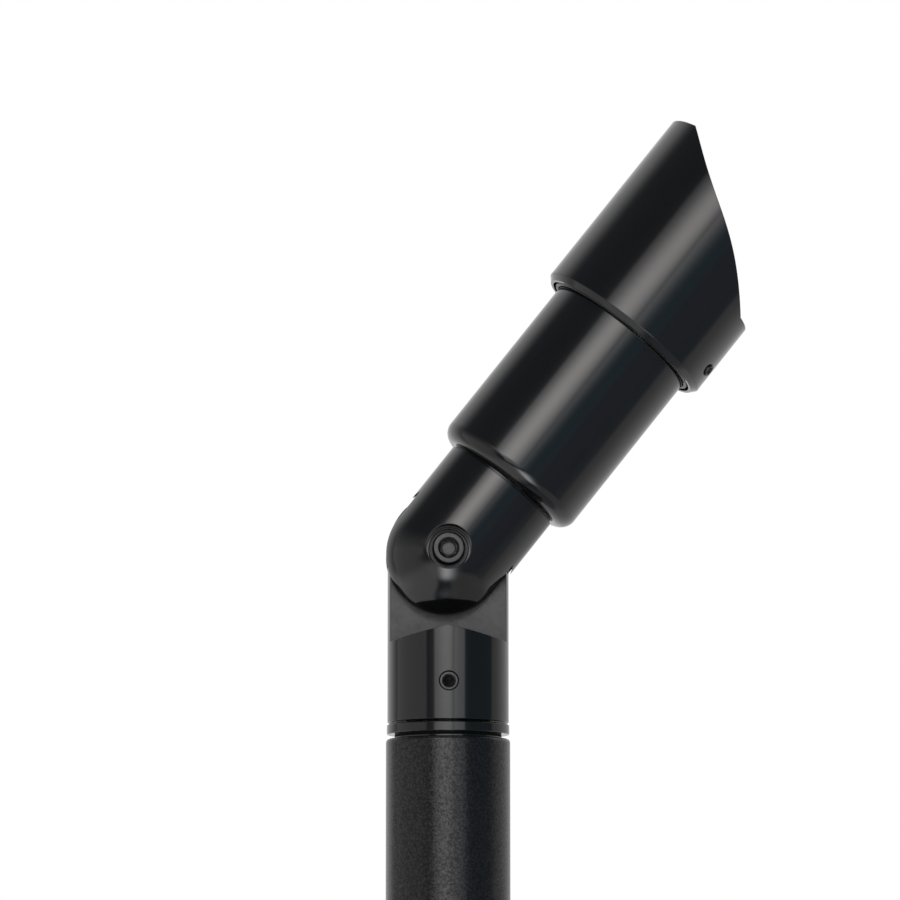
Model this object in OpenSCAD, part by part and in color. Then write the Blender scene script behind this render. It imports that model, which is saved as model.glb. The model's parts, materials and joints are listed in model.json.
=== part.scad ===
// Adjustable ground spotlight: a lamp barrel with a slanted glare hood on a
// tilting knuckle, a swivelling stem, a tube pole and a ground spike.
// Millimetres, +Z up, origin on the pole's axis at ground level.

/* [Pole] */
// Outside diameter of the pole tube
pole_d = 38.1; // [34:0.1:50]
// Wall of the pole tube
pole_wall = 2.6; // [1.5:0.1:3.5]
// Height of the pole's top edge above the ground
pole_h = 200; // [120:5:600]
// Rounding of the pole's top edge
pole_edge_r = 1.1; // [0.3:0.1:1.4]

/* [Ground spike] */
// Length of the spike's blades below the foot plug
spike_len = 170; // [100:5:300]
// Width across the spike's blades
spike_w = 30; // [20:1:33]
// Thickness of a blade
blade_t = 4; // [2.5:0.5:6]
// Share of the blades' length that narrows to the point
spike_taper = 0.45; // [0.2:0.05:0.8]
// Diameter of the spike's round tang in the foot plug
tang_d = 16; // [12:0.5:18]
// Length of the tang
tang_len = 26; // [15:1:40]

/* [Foot plug] */
// Length of the plug inside the pole
foot_len = 34; // [32:1:60]
// Thickness of the lip under the pole's end
foot_lip = 2.5; // [1.5:0.5:5]
// Diameter of the foot's grub screws
foot_screw_d = 5; // [3:0.5:6]
// Height of the foot's grub screws above the pole's end
foot_screw_h = 13; // [8:1:16]
// Diameter of the cable hole in the gland
cable_hole_d = 4.4; // [3:0.2:5]
// Wall of the gland's sleeve
gland_wall = 0.9; // [0.6:0.1:1.2]
// Width of the gland's flange round its sleeve
gland_flange = 0.6; // [0.3:0.1:0.6]
// Distance of the gland from the pole's axis
gland_off = 11.9; // [11.6:0.1:12.4]

/* [Pole top adaptor] */
// Diameter of the visible ring
ring_d = 37.6; // [34:0.1:46]
// Height of the visible ring
ring_h = 3.1; // [2:0.1:8]
// Open gap between the pole's edge and the ring
ring_gap = 1.4; // [0.5:0.1:4]
// Length of the plug inside the pole
plug_len = 30; // [15:1:60]
// Diameter of the spigot that the stem turns on
spigot_d = 26; // [22:0.5:28]
// Height of the spigot
spigot_h = 22; // [20:0.5:24]
// Diameter of the wire passage
wire_bore_d = 12; // [6:0.5:14]
// Depth of the grub screw's groove
groove_depth = 1.6; // [1:0.1:2.5]
// Width of the grub screw's groove
groove_w = 7; // [6.6:0.1:8]

/* [Stem] */
// Diameter of the stem
stem_d = 37.3; // [34:0.1:42]
// Height from the stem's lower edge to the tilt pivot
stem_h = 52.8; // [52:0.1:80]
// Thickness of the flat tongue
tongue_t = 11.1; // [8:0.1:13]
// Distance from the pivot down to the crest of the ledges
ledge_drop = 24; // [23:0.1:26]
// Slope of the ledges in degrees
ledge_slope = 13; // [0:0.5:20]
// Diameter of the stem's grub screw
stem_screw_d = 6; // [4:0.5:6]
// Height of the grub screw above the stem's lower edge
stem_screw_h = 11.8; // [11:0.1:14]
// Diameter of the wire hole through the tongue
tongue_hole_d = 5; // [3:0.5:6]
// Distance of the wire hole from the stem's axis
tongue_hole_off = 9.5; // [9:0.1:10]

/* [Knuckle] */
// Tilt of the head from straight up, as stored
head_tilt = 38.4; // [0:0.1:39]
// Largest tilt of the head from straight up, where the arm's slot meets the stem
tilt_max = 40; // [39:0.5:60]
// Diameter of the arm
arm_d = 38.4; // [36:0.1:44]
// Distance from the pivot to the barrel's back face
arm_len = 27.3; // [27:0.1:45]
// Distance of the dome's centre behind the pivot
dome_back = 1.4; // [0:0.1:2.5]
// Diameter of the pivot screw's shank
pivot_d = 6; // [5:0.5:8]
// Diameter of the pivot screw's head
pivot_head_d = 10; // [9:0.5:11]
// Height of the pivot screw's head
pivot_head_h = 5; // [3:0.5:5.5]
// Width across the flats of the pivot screw's socket
pivot_socket = 5; // [3:0.5:6]
// Depth of the screw head's face below the pivot screw's ear
pivot_head_sink = 4.3; // [3:0.1:5]
// Diameter of the washer under the head
washer_d = 12.4; // [11:0.2:13]
// Thickness of the washer under the head
washer_t = 1.2; // [0.8:0.1:1.6]
// Diameter of the counterbore
counterbore_d = 13.7; // [13.4:0.1:15]
// Diameter of the friction washers
friction_d = 16; // [14:0.5:17.4]
// Thickness of a friction washer
friction_t = 1; // [0.6:0.1:1.5]
// Height that a friction washer stands proud of the tongue
friction_proud = 0.1; // [0:0.05:0.2]
// Wall of the pivot bush
bush_wall = 1.5; // [1:0.1:2]

/* [Barrel] */
// Diameter of the barrel
barrel_d = 48.7; // [46:0.1:60]
// Length of the barrel
barrel_len = 69.7; // [66:0.5:120]
// Wall of the barrel at its mouth
barrel_wall = 2.5; // [2:0.1:3]
// Thickness of the barrel's back wall
back_wall = 4; // [3:0.5:6]
// Rounding of the barrel's back edge
back_round = 4.7; // [1:0.1:6]
// Width of the shadow groove between arm and barrel
neck_h = 0.6; // [0.3:0.1:1.5]
// Depth of the shadow groove between arm and barrel
neck_depth = 0.7; // [0.3:0.1:1.5]
// Diameter of the arm's hollow threaded end
arm_thread_d = 20; // [16:0.5:24]
// Width across the flats of the arm nut
nut_af = 27; // [26:0.5:32]
// Thickness of the arm nut
nut_t = 4.5; // [3:0.5:5]

/* [Lamp parts] */
// Depth of the heat sink's seat behind the barrel's mouth
sink_depth = 35; // [32:0.5:36]
// Thickness of the heat sink's plate
sink_t = 6; // [4:0.5:7]
// Diameter of the heat sink's stub
stub_d = 16; // [10:0.5:20]
// Diameter of the driver
driver_d = 34; // [30:0.5:38]
// Length of the driver
driver_len = 20; // [14:0.5:20.5]
// Diameter of the lamp board
board_d = 36; // [32:0.5:40]
// Thickness of the lamp board
board_t = 1.6; // [1:0.1:2]
// Diameter of the light-emitting disc
emitter_d = 14; // [8:0.5:16]
// Thickness of the light-emitting disc
emitter_t = 1.2; // [0.8:0.1:1.6]
// Diameter of the board screws
board_screw_d = 3; // [2:0.5:3]
// Distance of the board screws from the axis
board_screw_off = 15; // [14.6:0.1:15.2]
// Wall of the reflector
reflector_wall = 1.2; // [0.8:0.1:1.6]
// Width of the reflector's front rim
reflector_rim = 1.6; // [1:0.1:3]

/* [Front ring] */
// Thickness of the front glass
glass_t = 4; // [2:0.5:6]
// Thickness of the glass gasket
gasket_t = 1.2; // [0.8:0.1:2]
// Outside diameter of the front ring
bezel_d = 52.6; // [50.5:0.1:64]
// Length of the front ring's thread on the barrel
bezel_skirt = 9.1; // [6:0.1:14]
// Thickness of the front ring's lip
lip_t = 2.4; // [1.5:0.1:4]
// Width of the front ring's lip over the glass
lip_w = 2.6; // [1.5:0.1:4]
// Thickness of the hood's seat ring along the head
seat_t = 1.3; // [1:0.1:3]

/* [Hood] */
// Outside diameter of the hood
hood_d = 58.1; // [56.4:0.1:70]
// Length of the hood's long side
hood_len = 63.2; // [50:0.1:120]
// Length of the hood's short side
hood_short = 25.7; // [20:0.1:45]
// Width of the square land at the hood's tip
tip_land = 7.5; // [1:0.1:10]
// Width of the square land on the hood's short side
low_land = 3; // [1:0.1:8]
// Rise of the slanted cut's middle above a straight line
hood_bow = 0.6; // [0:0.1:2]
// Sway of the slanted cut, below the line near the tip and above it near the short side
hood_sway = 1.1; // [0:0.1:2]
// Distance that the hood reaches back over the front ring's end
hood_over = 1.6; // [0.4:0.1:2]
// Step in the hood's bore that stops it on the front ring
hood_step = 0.8; // [0.5:0.1:1.2]
// Length of the chamfer round the hood's back edge
hood_chamfer = 1.7; // [0.5:0.1:2.5]
// Depth of the chamfer round the hood's back edge
hood_chamfer_depth = 1.5; // [0.3:0.1:1.7]
// Diameter of the hood's grub screw
hood_screw_d = 4; // [3:0.5:5]
// Distance of the hood's grub screw from its back edge
hood_screw_at = 7.5; // [6:0.1:9]
// Angle of the hood's grub screw from the short side, in degrees
hood_screw_turn = 15; // [-90:1:90]
// Height that the hood's grub screw stands proud
hood_screw_proud = 0.6; // [0:0.1:1.5]

/* [Hidden] */

$fn = 96;

// Overrun of every cut past the face that it opens
over = 1;
// Radial clearance of a close or running fit
fit = 0.05;
// Gap between neighbours that move against each other
gap = 0.3;
// Small edge break on turned pieces
edge = 0.4;
// Size of a seal ring's round section
seal_d = 2.2;

pole_r = pole_d / 2;
pole_in_r = pole_r - pole_wall;
plug_r = pole_in_r - fit;
tang_r = tang_d / 2;
gland_r = cable_hole_d / 2 + gland_wall;

ring_r = ring_d / 2;
spigot_r = spigot_d / 2;
ring_z = pole_h + ring_gap;
spigot_z = ring_z + ring_h;

stem_r = stem_d / 2;
stem_z = spigot_z + gap;
stem_bore_r = spigot_r + fit;
stem_bore_h = spigot_h - gap + over;
pivot_z = stem_z + stem_h;
stem_screw_z = stem_z + stem_screw_h;
tongue_r = stem_r - 2 * fit;
seal_z = spigot_z + 3.4;

arm_r = arm_d / 2;
slot_w = tongue_t + 2 * (friction_proud + gap);
slot_open = (stem_r + gap - arm_r * cos(tilt_max)) / sin(tilt_max);
slot_r = sqrt(pow(arm_r, 2) + pow(slot_open, 2));
bush_r = pivot_d / 2 + fit + bush_wall;
recess_y = tongue_t / 2 + friction_proud - friction_t;
head_face_y = arm_r - pivot_head_sink;
head_seat_y = head_face_y - pivot_head_h;
washer_seat_y = head_seat_y - washer_t;
pivot_tip_y = arm_r - 3.5;

barrel_r = barrel_d / 2;
barrel_bore_r = barrel_r - barrel_wall;
sink_shoulder = 1.2;
thread_r = arm_thread_d / 2;
mouth_at = arm_len + barrel_len;
sink_at = mouth_at - sink_depth;
board_at = sink_at + sink_t;
emitter_at = board_at + board_t;
board_screw_r = board_screw_d / 2;
nut_at = arm_len + back_wall;
thread_end = nut_at + nut_t + 0.5;
arm_seal_r = thread_r + 3;
driver_at = thread_end + gap;
stub_at = driver_at + driver_len;

bezel_r = bezel_d / 2;
bezel_bore_r = barrel_r + fit;
bezel_at = mouth_at - bezel_skirt;
glass_at = mouth_at + gasket_t;
glass_r = barrel_r - 0.5;
lip_at = glass_at + glass_t;
lip_r = glass_r - lip_w;
bezel_end = lip_at + lip_t;

seat_at = bezel_at - gap - seat_t;
seat_in_r = barrel_r + gap;
seat_out_r = bezel_r - 0.5;
seat_round = 0.5;

hood_r = hood_d / 2;
hood_bore_r = bezel_r + gap;
hood_front_r = hood_bore_r - hood_step;
hood_stop_at = bezel_end + gap;
hood_at = bezel_at - hood_over;
tip_at = hood_at + hood_len;
low_at = hood_at + hood_short;
hood_screw_a = hood_at + hood_screw_at;

black = [0.045, 0.047, 0.05];
textured_black = [0.05, 0.05, 0.05];
rubber_black = [0.02, 0.02, 0.02];
screw_steel = [0.16, 0.16, 0.17];
bright_steel = [0.7, 0.7, 0.72];
bare_aluminium = [0.78, 0.79, 0.8];
board_white = [0.92, 0.92, 0.9];
phosphor = [0.95, 0.82, 0.35];
mirror_silver = [0.9, 0.9, 0.92];
nylon_white = [0.85, 0.85, 0.82];
bronze = [0.6, 0.45, 0.25];
clear_glass = [0.8, 0.9, 0.92, 0.35];

// Puts a piece drawn about the pivot, with +Z along the head, in its place
module on_head() {
    translate([0, 0, pivot_z]) rotate([0, head_tilt, 0]) children();
}

// Turns +Z to point at the near side, which is -Y
module to_near_side() {
    rotate([90, 0, 0]) children();
}

// Cuts an outer corner at (x, y) with material above it
module bottom_chamfer(x, y, c) {
    polygon([[x - c - over, y - over], [x + over, y - over], [x + over, y + c + over]]);
}

// Cuts an outer corner at (x, y) with material below it
module top_chamfer(x, y, c) {
    polygon([[x - c - over, y + over], [x + over, y + over], [x + over, y - c - over]]);
}

// Rounds an outer corner at (x, y) with material above it
module bottom_round(x, y, r) {
    difference() {
        translate([x - r, y - over]) square(r + over);
        translate([x - r, y + r]) circle(r);
    }
}

// Rounds an outer corner at (x, y) with material below it
module top_round(x, y, r) {
    difference() {
        translate([x - r, y - r]) square(r + over);
        translate([x - r, y - r]) circle(r);
    }
}

// A ring section from r0 to r1 and from z0 to z1
module band(r0, r1, z0, z1) {
    translate([r0, z0]) square([r1 - r0, z1 - z0]);
}

// A seal ring with its section centred at radius r and height z
module seal_ring(r, z, d) {
    rotate_extrude() translate([r, z]) circle(d / 2);
}

module hex_prism(af, h) {
    cylinder(h = h, r = af / 2 / cos(30), $fn = 6);
}

// A headless screw from its tip at height 0 up to h, with a socket in its top
module grub_screw(d, h, socket) {
    difference() {
        rotate_extrude() difference() {
            band(0, d / 2, 0, h);
            bottom_chamfer(d / 2, 0, d / 6);
            top_chamfer(d / 2, h, d / 16);
        }
        translate([0, 0, h - socket * 0.7]) hex_prism(socket, socket);
    }
}

// One blade of the spike, drawn flat with its top edge at y = 0
module blade_outline() {
    straight = spike_len * (1 - spike_taper);
    tip_w = blade_t / 2;
    polygon([
        [-spike_w / 2, 0], [spike_w / 2, 0], [spike_w / 2, -straight],
        [tip_w, -spike_len], [-tip_w, -spike_len], [-spike_w / 2, -straight]
    ]);
}

module ground_spike() {
    color(textured_black) {
        translate([0, 0, -foot_lip]) {
            for (turn = [0, 90]) {
                rotate([90, 0, turn]) translate([0, 0, -blade_t / 2]) {
                    linear_extrude(blade_t) blade_outline();
                }
            }
        }
        rotate_extrude() difference() {
            band(0, tang_r, -foot_lip - over, tang_len);
            top_chamfer(tang_r, tang_len, 1);
        }
    }
}

module gland_place() {
    rotate([0, 0, 45]) translate([gland_off, 0, 0]) children();
}

module foot_plug() {
    color(rubber_black) difference() {
        rotate_extrude() difference() {
            union() {
                band(tang_r + fit, pole_r, -foot_lip, 0);
                band(tang_r + fit, plug_r, -over / 2, foot_len);
                band(0, plug_r, tang_len + over, foot_len);
            }
            bottom_chamfer(pole_r, -foot_lip, 0.8);
            top_chamfer(plug_r, foot_len, 1);
        }
        gland_place() translate([0, 0, -foot_lip - over]) {
            cylinder(h = foot_len + foot_lip + 2 * over, r = gland_r + fit);
        }
        foot_screw_holes(foot_screw_d / 2 + fit);
    }
}

// Bores along X for the foot's grub screws
module foot_screw_holes(r) {
    for (side = [-1, 1]) {
        translate([side * (tang_r + fit) / 2, 0, foot_screw_h]) rotate([0, side * 90, 0]) {
            cylinder(h = pole_r, r = r);
        }
    }
}

module foot_screws() {
    color(screw_steel) for (side = [-1, 1]) {
        translate([side * (tang_r + fit), 0, foot_screw_h]) rotate([0, side * 90, 0]) {
            grub_screw(foot_screw_d, pole_r - tang_r - 0.5, foot_screw_d / 2);
        }
    }
}

module cable_gland() {
    flange_t = 1.6;
    flange_r = gland_r + gland_flange;
    color(rubber_black) gland_place() rotate_extrude() difference() {
        union() {
            band(cable_hole_d / 2, gland_r, -foot_lip - flange_t, foot_len);
            band(cable_hole_d / 2, flange_r, -foot_lip - flange_t, -foot_lip);
        }
        bottom_chamfer(flange_r, -foot_lip - flange_t, 0.5);
    }
}

module pole_tube() {
    color(textured_black) difference() {
        rotate_extrude() difference() {
            band(pole_in_r, pole_r, 0, pole_h);
            top_round(pole_r, pole_h, pole_edge_r);
        }
        foot_screw_holes(foot_screw_d / 2 + fit);
    }
}

module pole_adaptor() {
    passage_r = wire_bore_d / 2;
    top = spigot_z + spigot_h;
    groove_z = stem_screw_z - groove_w / 2;
    color(black) rotate_extrude() difference() {
        union() {
            band(passage_r, plug_r, pole_h - plug_len, ring_z + over / 2);
            band(passage_r, ring_r, ring_z, spigot_z);
            band(passage_r, spigot_r, spigot_z - over / 2, top);
        }
        band(spigot_r - groove_depth, spigot_r + over, groove_z, groove_z + groove_w);
        translate([spigot_r - seal_d + fit, seal_z - seal_d / 2 - fit]) {
            square([seal_d + over, seal_d + 2 * fit]);
        }
        bottom_chamfer(plug_r, pole_h - plug_len, 1);
        bottom_chamfer(ring_r, ring_z, edge / 2);
        top_chamfer(ring_r, spigot_z, edge);
        top_chamfer(spigot_r, top, 1);
    }
}

module spigot_seal() {
    color(rubber_black) seal_ring(spigot_r - seal_d / 2 + fit, seal_z, seal_d - 2 * fit);
}

// The ledges' cut, drawn in the XZ plane about the pivot
module ledge_outline() {
    reach = stem_r + over;
    drop = reach * tan(ledge_slope);
    polygon([
        [-reach, stem_r + over], [-reach, -ledge_drop - drop], [0, -ledge_drop],
        [reach, -ledge_drop - drop], [reach, stem_r + over]
    ]);
}

module stem() {
    passage = stem_h + tongue_r;
    color(black) difference() {
        intersection() {
            rotate_extrude() difference() {
                band(0, stem_r, stem_z, pivot_z + stem_r);
                bottom_chamfer(stem_r, stem_z, edge);
            }
            translate([0, 0, pivot_z]) to_near_side() translate([0, 0, -stem_r - over]) {
                linear_extrude(2 * stem_r + 2 * over) union() {
                    circle(tongue_r);
                    translate([-stem_r - over, -stem_h - over]) {
                        square([2 * stem_r + 2 * over, stem_h + over]);
                    }
                }
            }
        }
        for (side = [0, 180]) rotate([0, 0, side]) {
            translate([0, -tongue_t / 2, pivot_z]) to_near_side() {
                linear_extrude(stem_r) ledge_outline();
            }
            translate([0, -recess_y, pivot_z]) to_near_side() {
                cylinder(h = friction_t + over, r = friction_d / 2 + fit);
            }
        }
        translate([0, 0, stem_z - over]) cylinder(h = stem_bore_h + over, r = stem_bore_r);
        translate([tongue_hole_off, 0, stem_z]) cylinder(h = passage + over, r = tongue_hole_d / 2);
        translate([0, tongue_t, pivot_z]) to_near_side() {
            cylinder(h = 2 * tongue_t, r = bush_r + fit);
        }
        translate([0, -stem_bore_r + over, stem_screw_z]) to_near_side() {
            cylinder(h = stem_r, r = stem_screw_d / 2 + fit);
        }
    }
}

module stem_set_screw() {
    tip_r = spigot_r - groove_depth + gap;
    color(screw_steel) translate([0, -tip_r, stem_screw_z]) to_near_side() {
        grub_screw(stem_screw_d, stem_r - 0.4 - tip_r, stem_screw_d / 2);
    }
}

module friction_washers() {
    color(nylon_white) for (side = [0, 180]) rotate([0, 0, side]) {
        translate([0, -recess_y, pivot_z]) to_near_side() rotate_extrude() {
            band(pivot_d / 2 + 2 * fit, friction_d / 2, 0, friction_t);
        }
    }
}

module pivot_bush() {
    color(bronze) translate([0, recess_y, pivot_z]) to_near_side() rotate_extrude() {
        band(pivot_d / 2 + fit, bush_r, 0, 2 * recess_y);
    }
}

module pivot_screw() {
    shank = head_seat_y + pivot_tip_y;
    color(screw_steel) on_head() translate([0, pivot_tip_y, 0]) to_near_side() difference() {
        rotate_extrude() difference() {
            union() {
                band(0, pivot_d / 2, 0, shank + over);
                band(0, pivot_head_d / 2, shank, shank + pivot_head_h);
            }
            bottom_chamfer(pivot_d / 2, 0, 0.6);
            top_round(pivot_head_d / 2, shank + pivot_head_h, 0.6);
        }
        translate([0, 0, shank + pivot_head_h * 0.4]) hex_prism(pivot_socket, pivot_head_h);
    }
}

module pivot_washer() {
    color(screw_steel) on_head() translate([0, -washer_seat_y, 0]) to_near_side() rotate_extrude() {
        difference() {
            band(pivot_d / 2 + 2 * fit, washer_d / 2, 0, washer_t);
            top_chamfer(washer_d / 2, washer_t, 0.2);
        }
    }
}

// The arm's slot, drawn in the XZ plane about the pivot, with a round end
module slot_outline() {
    reach = arm_r + over;
    circle(slot_r);
    translate([-reach, -reach - dome_back]) square([2 * reach, reach + dome_back]);
}

module arm() {
    neck_at = arm_len - neck_h;
    color(black) on_head() difference() {
        rotate_extrude() difference() {
            union() {
                intersection() {
                    translate([0, -dome_back]) circle(arm_r);
                    band(0, arm_r, -dome_back - arm_r, -dome_back);
                }
                band(0, arm_r, -dome_back, neck_at);
                band(0, arm_r - neck_depth, neck_at - over, arm_len);
                band(0, thread_r, arm_len - over, thread_end);
            }
            top_chamfer(arm_r, neck_at, edge / 2);
            band(0, wire_bore_d / 2, slot_r - over, thread_end + over);
            translate([arm_seal_r - seal_d / 2 - fit, arm_len - seal_d]) {
                square([seal_d + 2 * fit, seal_d + over]);
            }
        }
        translate([0, slot_w / 2, 0]) to_near_side() linear_extrude(slot_w) slot_outline();
        translate([0, -washer_seat_y, 0]) to_near_side() {
            cylinder(h = arm_r, r = counterbore_d / 2);
        }
        to_near_side() cylinder(h = arm_r, r = pivot_d / 2 + 2 * fit);
        translate([0, pivot_tip_y + 0.5, 0]) to_near_side() {
            cylinder(h = arm_r, r = pivot_d / 2 + fit);
        }
    }
}

module arm_seal() {
    color(rubber_black) on_head() seal_ring(arm_seal_r, arm_len - seal_d / 2, seal_d);
}

module arm_nut() {
    color(bright_steel) on_head() translate([0, 0, nut_at]) difference() {
        hex_prism(nut_af, nut_t);
        translate([0, 0, -over]) cylinder(h = nut_t + 2 * over, r = thread_r + fit);
    }
}

module barrel() {
    color(black) on_head() rotate_extrude() difference() {
        band(0, barrel_r, arm_len, mouth_at);
        band(0, thread_r + fit, arm_len - over, mouth_at);
        band(0, barrel_bore_r - sink_shoulder, nut_at, mouth_at);
        band(0, barrel_bore_r, sink_at, mouth_at + over);
        bottom_round(barrel_r, arm_len, back_round);
        top_chamfer(barrel_r, mouth_at, 0.3);
    }
}

module driver() {
    color(rubber_black) on_head() rotate_extrude() difference() {
        band(0, driver_d / 2, driver_at, stub_at);
        bottom_chamfer(driver_d / 2, driver_at, 1);
        top_chamfer(driver_d / 2, stub_at, 1);
    }
}

// Places the two board screws, drawn from the board's face along the head
module at_board_screws() {
    for (side = [-1, 1]) translate([0, side * board_screw_off, 0]) children();
}

module heat_sink() {
    depth = sink_t - 1;
    color(bare_aluminium) on_head() difference() {
        rotate_extrude() difference() {
            union() {
                band(0, barrel_bore_r - fit, sink_at, board_at);
                band(0, stub_d / 2, stub_at, sink_at + over);
            }
            top_chamfer(barrel_bore_r - fit, board_at, 0.5);
        }
        at_board_screws() translate([0, 0, board_at - depth]) {
            cylinder(h = depth + over, r = board_screw_r + fit);
        }
    }
}

module led_board() {
    color(board_white) on_head() difference() {
        translate([0, 0, board_at]) cylinder(h = board_t, r = board_d / 2);
        at_board_screws() translate([0, 0, board_at - over]) {
            cylinder(h = board_t + 2 * over, r = board_screw_r + 2 * fit);
        }
    }
}

module led_emitter() {
    color(phosphor) on_head() rotate_extrude() difference() {
        band(0, emitter_d / 2, emitter_at, emitter_at + emitter_t);
        band(0, emitter_d / 2 - 1, emitter_at + emitter_t * 0.7, emitter_at + emitter_t + over);
    }
}

module board_screws() {
    shank = board_t + sink_t - 2;
    head_r = 1.8 * board_screw_r;
    head_h = 1.2 * board_screw_r;
    color(bright_steel) on_head() at_board_screws() difference() {
        rotate_extrude() difference() {
            union() {
                band(0, board_screw_r, emitter_at - shank, emitter_at + over / 2);
                band(0, head_r, emitter_at, emitter_at + head_h);
            }
            top_round(head_r, emitter_at + head_h, head_h / 2);
        }
        translate([0, 0, emitter_at + head_h / 2]) hex_prism(1.3 * board_screw_r, head_h);
    }
}

// Radius of the reflector's inside at share t of its depth
function bowl_r(t) =
    let (r0 = emitter_d / 2 + 0.4, r1 = barrel_bore_r - fit - reflector_rim - reflector_wall)
    r0 + (r1 - r0) * sqrt(t);

module reflector() {
    steps = 12;
    rim_t = 1.5;
    rim_r = barrel_bore_r - fit;
    depth = mouth_at - emitter_at;
    shares = [for (i = [0 : steps]) pow(i / steps, 1.5)];
    inside = [for (t = shares) [bowl_r(t), emitter_at + depth * t]];
    outside = [for (i = [steps - 1 : -1 : 0]) [inside[i][0] + reflector_wall, inside[i][1]]];
    rim = [[rim_r, mouth_at], [rim_r, mouth_at - rim_t], [bowl_r(1) + reflector_wall, mouth_at - rim_t]];
    color(mirror_silver) on_head() rotate_extrude() polygon(concat(inside, rim, outside));
}

module glass_gasket() {
    color(rubber_black) on_head() rotate_extrude() {
        band(barrel_bore_r - 0.6, glass_r, mouth_at, glass_at);
    }
}

module front_glass() {
    color(clear_glass) on_head() rotate_extrude() difference() {
        band(0, glass_r, glass_at, lip_at);
        top_chamfer(glass_r, lip_at, 0.4);
        bottom_chamfer(glass_r, glass_at, 0.4);
    }
}

module bezel_ring() {
    color(black) on_head() rotate_extrude() difference() {
        band(lip_r, bezel_r, bezel_at, bezel_end);
        band(0, bezel_bore_r, bezel_at - over, mouth_at);
        band(0, glass_r + fit, mouth_at - over, lip_at);
        top_chamfer(bezel_r, bezel_end, 0.6);
        bottom_chamfer(bezel_r, bezel_at, 0.5);
        polygon([
            [lip_r - over, bezel_end + over], [lip_r + lip_t / 2 + over, bezel_end + over],
            [lip_r - over, bezel_end - lip_t / 2 - over]
        ]);
    }
}

module hood_seat_ring() {
    color(rubber_black) on_head() rotate_extrude() difference() {
        band(seat_in_r, seat_out_r, seat_at, seat_at + seat_t);
        bottom_round(seat_out_r, seat_at, seat_round);
        top_round(seat_out_r, seat_at + seat_t, seat_round);
    }
}

// The open front of the hood, drawn in the head's XZ plane
module hood_cut_outline() {
    steps = 24;
    far = hood_r + over;
    top = tip_at + over;
    start = [-hood_r + tip_land, tip_at];
    end = [hood_r - low_land, low_at];
    slant = [
        for (i = [0 : steps])
            let (s = i / steps)
            start + (end - start) * s + [0, hood_bow * sin(180 * s) - hood_sway * sin(360 * s)]
    ];
    polygon(concat([[start[0], top]], slant, [[far, low_at], [far, top]]));
}

module hood() {
    land = hood_chamfer_depth;
    color(black) on_head() difference() {
        rotate_extrude() difference() {
            band(hood_front_r, hood_r, hood_at, tip_at);
            band(0, hood_bore_r, hood_at - over, hood_stop_at);
            top_chamfer(hood_r, tip_at, edge / 2);
            polygon([
                [hood_r - land, hood_at - over], [hood_r + over, hood_at - over],
                [hood_r + over, hood_at + hood_chamfer], [hood_r, hood_at + hood_chamfer],
                [hood_r - land, hood_at]
            ]);
        }
        translate([0, hood_r + over, 0]) to_near_side() {
            linear_extrude(2 * hood_r + 2 * over) hood_cut_outline();
        }
        at_hood_screw() cylinder(h = hood_r, r = hood_screw_d / 2 + fit);
    }
}

// Turns +Z to the hood's grub screw and starts at the head's axis
module at_hood_screw() {
    translate([0, 0, hood_screw_a]) rotate([0, 90, -hood_screw_turn]) children();
}

module hood_set_screw() {
    tip_r = bezel_r + gap;
    color(screw_steel) on_head() at_hood_screw() translate([0, 0, tip_r]) {
        grub_screw(hood_screw_d, hood_r + hood_screw_proud - tip_r, hood_screw_d / 2);
    }
}

ground_spike();
foot_plug();
foot_screws();
cable_gland();
pole_tube();
pole_adaptor();
spigot_seal();
stem();
stem_set_screw();
friction_washers();
pivot_bush();
pivot_screw();
pivot_washer();
arm();
arm_seal();
arm_nut();
barrel();
driver();
heat_sink();
led_board();
led_emitter();
board_screws();
reflector();
glass_gasket();
front_glass();
bezel_ring();
hood_seat_ring();
hood();
hood_set_screw();
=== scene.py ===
"""Looks, studio and camera of the adjustable ground spotlight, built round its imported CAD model."""

import json
import math

import bmesh
import bpy
from mathutils import Matrix, Vector


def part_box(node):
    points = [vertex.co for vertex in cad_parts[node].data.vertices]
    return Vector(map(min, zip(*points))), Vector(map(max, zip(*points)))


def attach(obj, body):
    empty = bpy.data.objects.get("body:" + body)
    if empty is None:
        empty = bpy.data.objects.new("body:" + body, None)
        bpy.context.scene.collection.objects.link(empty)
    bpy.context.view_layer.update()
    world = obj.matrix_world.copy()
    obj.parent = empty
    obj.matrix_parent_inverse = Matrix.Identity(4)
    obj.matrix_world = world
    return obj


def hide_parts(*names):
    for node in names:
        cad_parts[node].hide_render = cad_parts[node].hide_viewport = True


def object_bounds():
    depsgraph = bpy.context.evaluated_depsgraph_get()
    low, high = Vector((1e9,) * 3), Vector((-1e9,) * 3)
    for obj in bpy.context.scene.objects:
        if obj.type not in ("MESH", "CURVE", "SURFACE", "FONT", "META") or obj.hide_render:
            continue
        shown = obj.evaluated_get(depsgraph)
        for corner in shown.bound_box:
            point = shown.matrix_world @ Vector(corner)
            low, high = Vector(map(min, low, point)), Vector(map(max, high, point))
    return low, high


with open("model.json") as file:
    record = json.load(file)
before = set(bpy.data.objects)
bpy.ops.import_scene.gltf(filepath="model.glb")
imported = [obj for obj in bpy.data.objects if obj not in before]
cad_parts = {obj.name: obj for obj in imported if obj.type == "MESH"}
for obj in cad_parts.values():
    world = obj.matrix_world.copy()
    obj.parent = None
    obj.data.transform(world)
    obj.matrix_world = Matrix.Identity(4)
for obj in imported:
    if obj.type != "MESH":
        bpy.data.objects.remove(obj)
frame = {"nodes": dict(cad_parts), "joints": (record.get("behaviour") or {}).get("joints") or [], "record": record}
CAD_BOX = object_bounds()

bl_info = {
    "name": "Ground spotlight looks",
    "version": (1, 0, 0),
    "blender": (4, 5, 0),
    "location": "3D View > Sidebar > Spotlight",
    "description": "Dresses the spotlight's frame with finishes, fasteners and a plain studio",
    "category": "Object",
}

MM = 0.001

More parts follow.
